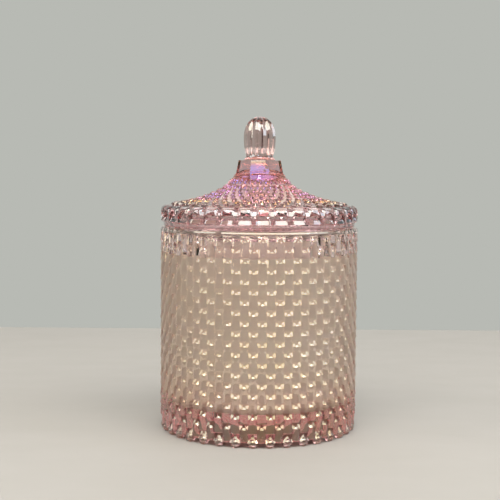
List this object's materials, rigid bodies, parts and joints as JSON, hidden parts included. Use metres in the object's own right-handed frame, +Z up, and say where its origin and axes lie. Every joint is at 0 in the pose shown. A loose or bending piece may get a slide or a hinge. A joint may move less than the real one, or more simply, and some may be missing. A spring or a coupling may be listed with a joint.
{
  "type": "lidded pressed-glass candy dish",
  "caption": "Round pink lustre glass candy dish with a basket-weave relief, a beaded foot and a knobbed lid, filled with cream candle wax and a wick.",
  "frame": {"origin": "centre of the circle that the foot beads stand on, at the height of their flats", "axes": "+Z up along the axis of the dish, +X through one foot bead, and -Y towards the viewer"},
  "size_m": [0.09, 0.09, 0.1418],
  "materials": {
    "dish_glass": "pressed, iridescent pink lustre",
    "lid_glass": "pressed, iridescent rose lustre",
    "silicone": "clear, satin",
    "wax": "smooth cream soy wax",
    "cotton": "waxed braid",
    "tin_plate": "tin plate",
    "foam_tape": "white foam"
  },
  "bodies": {
    "jar": {"dish": "dish_glass", "wax_fill": "wax", "wick": "cotton", "wick_tab": "tin_plate", "wick_sticker": "foam_tape"},
    "seal": {"lid_seal": "silicone"},
    "lid": {"lid": "lid_glass"}
  },
  "joints": [
    {"name": "lid_lift", "type": "slide", "parent": "jar", "child": "seal", "axis": [0, 0, 1], "range_m": [0, 0.06]},
    {"name": "lid_turn", "type": "hinge", "parent": "seal", "child": "lid", "pos_m": [0, 0, 0.0923], "axis": [0, 0, 1], "continuous": true}
  ]
}
